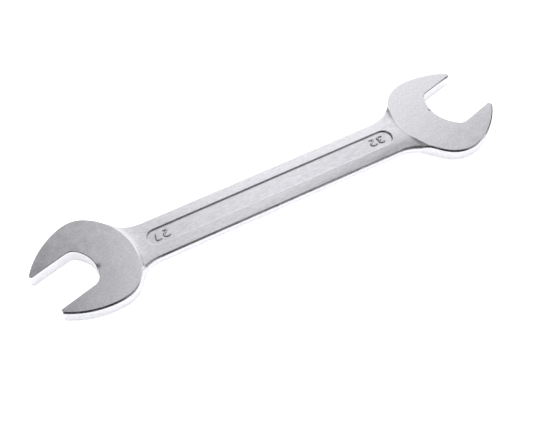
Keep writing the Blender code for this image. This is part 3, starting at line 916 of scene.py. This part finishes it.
class WRENCH_OT_numbers(bpy.types.Operator):
    """Raises the size numbers from both panels' floors"""

    bl_idname = "wrench.numbers"
    bl_label = "Make Size Numbers"

    def execute(self, context):
        """Makes each mouth's number, upright when the wrench is turned end for end."""
        sizes = context.scene.wrench_sizes
        finish = context.scene.wrench_finish
        satin = plated_material("satin_chrome_number", finish, finish.forged_roughness, BLASTED)
        for name, gap, width, place in (
                ("size_number_27", sizes.gap_27, NUMBER_WIDTH_27, NUMBER_PLACE_27),
                ("size_number_32", sizes.gap_32, NUMBER_WIDTH_32, NUMBER_PLACE_32)):
            piece = raised_number(name, f"{gap / MM:.0f}", width, place, sizes, satin)
            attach(piece, BODY)
        return {"FINISHED"}


def ceiling_lamp():
    """A wide soft lamp overhead, kept out of the metal's reflections, that lights the floor evenly."""
    lamp = bpy.data.lights.new("ceiling_lamp", "AREA")
    lamp.shape = "SQUARE"
    lamp.size = CEILING_SIZE
    lamp.energy = CEILING_POWER
    obj = link("ceiling_lamp", lamp)
    obj.location = (0.0, 0.0, CEILING_HEIGHT)
    obj.visible_glossy = False


def photo_camera():
    """The camera, at the photograph's place and angle."""
    camera = bpy.data.cameras.new("photo_camera")
    camera.sensor_fit = "HORIZONTAL"
    camera.sensor_width = SENSOR_WIDTH
    camera.lens = FOCAL_PIXELS / PHOTO_WIDTH * SENSOR_WIDTH
    camera.clip_start = CAMERA_NEAREST
    obj = link("photo_camera", camera)
    turn = Matrix.Rotation(-CAMERA_TURN, 4, "Z") @ Matrix.Rotation(math.pi / 2 - CAMERA_ELEVATION, 4, "X")
    obj.matrix_world = Matrix.Translation(CAMERA_PLACE) @ turn
    bpy.context.scene.camera = obj


def seen_directly(tree):
    """A switch that is one where the camera or a mirror looks at the surface."""
    path = add_node(tree, "ShaderNodeLightPath").outputs
    return add_node(tree, "ShaderNodeMath", {"operation": "MAXIMUM"}, {
        0: path["Is Camera Ray"], 1: path["Is Glossy Ray"]}).outputs[0]


def studio_light(world):
    """A dim room with a panel overhead, a softbox beyond the wrench, a fill and three shaded places."""
    world.use_nodes = True
    tree = world.node_tree
    background = tree.nodes["Background"]
    direction = add_node(tree, "ShaderNodeTexCoord").outputs["Generated"]
    level = ROOM_LEVEL
    for azimuth, elevation, full, end, strength in STUDIO_LIGHTS:
        flat = math.cos(elevation * DEG)
        towards = (math.sin(azimuth * DEG) * flat, math.cos(azimuth * DEG) * flat,
                   math.sin(elevation * DEG))
        facing = add_node(tree, "ShaderNodeVectorMath", {"operation": "DOT_PRODUCT"}, {
            0: direction, 1: towards})
        part = add_node(tree, "ShaderNodeMapRange", {"interpolation_type": "SMOOTHSTEP"}, {
            "Value": facing.outputs["Value"], "From Min": math.cos(end * DEG),
            "From Max": math.cos(full * DEG), "To Max": strength})
        level = add_node(tree, "ShaderNodeMath", {"operation": "ADD"}, {
            0: level, 1: part.outputs[0]}).outputs[0]
    path = add_node(tree, "ShaderNodeLightPath").outputs
    shown = add_node(tree, "ShaderNodeMix", {"data_type": "FLOAT"}, {
        0: path["Is Camera Ray"], 2: level, 3: 1.0})
    tree.links.new(shown.outputs[0], background.inputs["Strength"])
    background.inputs["Color"].default_value = (1.0, 1.0, 1.0, 1.0)


def floor_paint(colour):
    """Matt white paper that glows a little where it is looked at, so that only its shadows are grey."""
    made = bpy.data.materials.new("white_paper")
    made.use_nodes = True
    tree = made.node_tree
    shader = tree.nodes["Principled BSDF"]
    shader.inputs["Base Color"].default_value = colour
    shader.inputs["Roughness"].default_value = PAPER_ROUGHNESS
    shader.inputs["Emission Color"].default_value = colour
    glow = add_node(tree, "ShaderNodeMath", {"operation": "MULTIPLY"}, {
        0: seen_directly(tree), 1: FLOOR_GLOW})
    tree.links.new(glow.outputs[0], shader.inputs["Emission Strength"])
    return made


def black_card():
    """A matt black card whose reflection draws a dark line along the 32 mm head's right edge."""
    made = bpy.data.materials.new("black_card")
    made.use_nodes = True
    shader = made.node_tree.nodes["Principled BSDF"]
    shader.inputs["Base Color"].default_value = linear("#101010")
    shader.inputs["Roughness"].default_value = PAPER_ROUGHNESS
    mesh = bpy.data.meshes.new("black_card")
    corners = [CARD_PLACE + CARD_SIZE * Vector((x, y, 0.0)) / 2
               for x, y in ((-1, -1), (1, -1), (1, 1), (-1, 1))]
    mesh.from_pydata(corners, [], [(0, 1, 2, 3)])
    mesh.materials.append(made)
    card = link("black_card", mesh)
    card.visible_camera = False
    card.visible_diffuse = False
    card.visible_shadow = False


class WRENCH_OT_stage(bpy.types.Operator):
    """Makes the floor, the studio light and the camera"""

    bl_idname = "wrench.stage"
    bl_label = "Make Stage"

    def execute(self, context):
        """Lays the floor, lights the studio and sets the camera."""
        scene = context.scene
        scene.view_settings.view_transform = "Standard"
        paper = bmesh.new()
        bmesh.ops.create_grid(paper, x_segments=1, y_segments=1, size=FLOOR_REACH)
        mesh = bpy.data.meshes.new("floor")
        paper.to_mesh(mesh)
        paper.free()
        floor = link("floor", mesh)
        floor.data.materials.append(floor_paint(scene.wrench_finish.floor))
        scene.world = scene.world or bpy.data.worlds.new("studio")
        studio_light(scene.world)
        ceiling_lamp()
        black_card()
        photo_camera()
        return {"FINISHED"}


class WRENCH_PT_sidebar(bpy.types.Panel):
    """Lists the wrench's sizes, finishes and makers"""

    bl_idname = "WRENCH_PT_sidebar"
    bl_label = "Open End Wrench"
    bl_space_type = "VIEW_3D"
    bl_region_type = "UI"
    bl_category = "Wrench"

    def draw(self, context):
        """Draws the sizes and finishes, then a button for each operator."""
        for group in (context.scene.wrench_sizes, context.scene.wrench_finish):
            box = self.layout.box()
            for name in group.bl_rna.properties.keys():
                if name not in {"rna_type", "name"}:
                    box.prop(group, name)
        for operator in OPERATORS:
            self.layout.operator(operator.bl_idname)


OPERATORS = (WRENCH_OT_forging, WRENCH_OT_numbers, WRENCH_OT_stage)
CLASSES = (WrenchSizes, WrenchFinish) + OPERATORS + (WRENCH_PT_sidebar,)


def register():
    """Adds the classes and the scene's settings."""
    for made in CLASSES:
        bpy.utils.register_class(made)
    bpy.types.Scene.wrench_sizes = bpy.props.PointerProperty(type=WrenchSizes)
    bpy.types.Scene.wrench_finish = bpy.props.PointerProperty(type=WrenchFinish)


def unregister():
    """Takes the settings and classes away again."""
    del bpy.types.Scene.wrench_finish
    del bpy.types.Scene.wrench_sizes
    for made in reversed(CLASSES):
        bpy.utils.unregister_class(made)


def main():
    """Makes the wrench and its stage."""
    register()
    bpy.ops.wrench.forging()
    bpy.ops.wrench.numbers()
    bpy.ops.wrench.stage()
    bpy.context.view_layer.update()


if __name__ == "__main__":
    main()
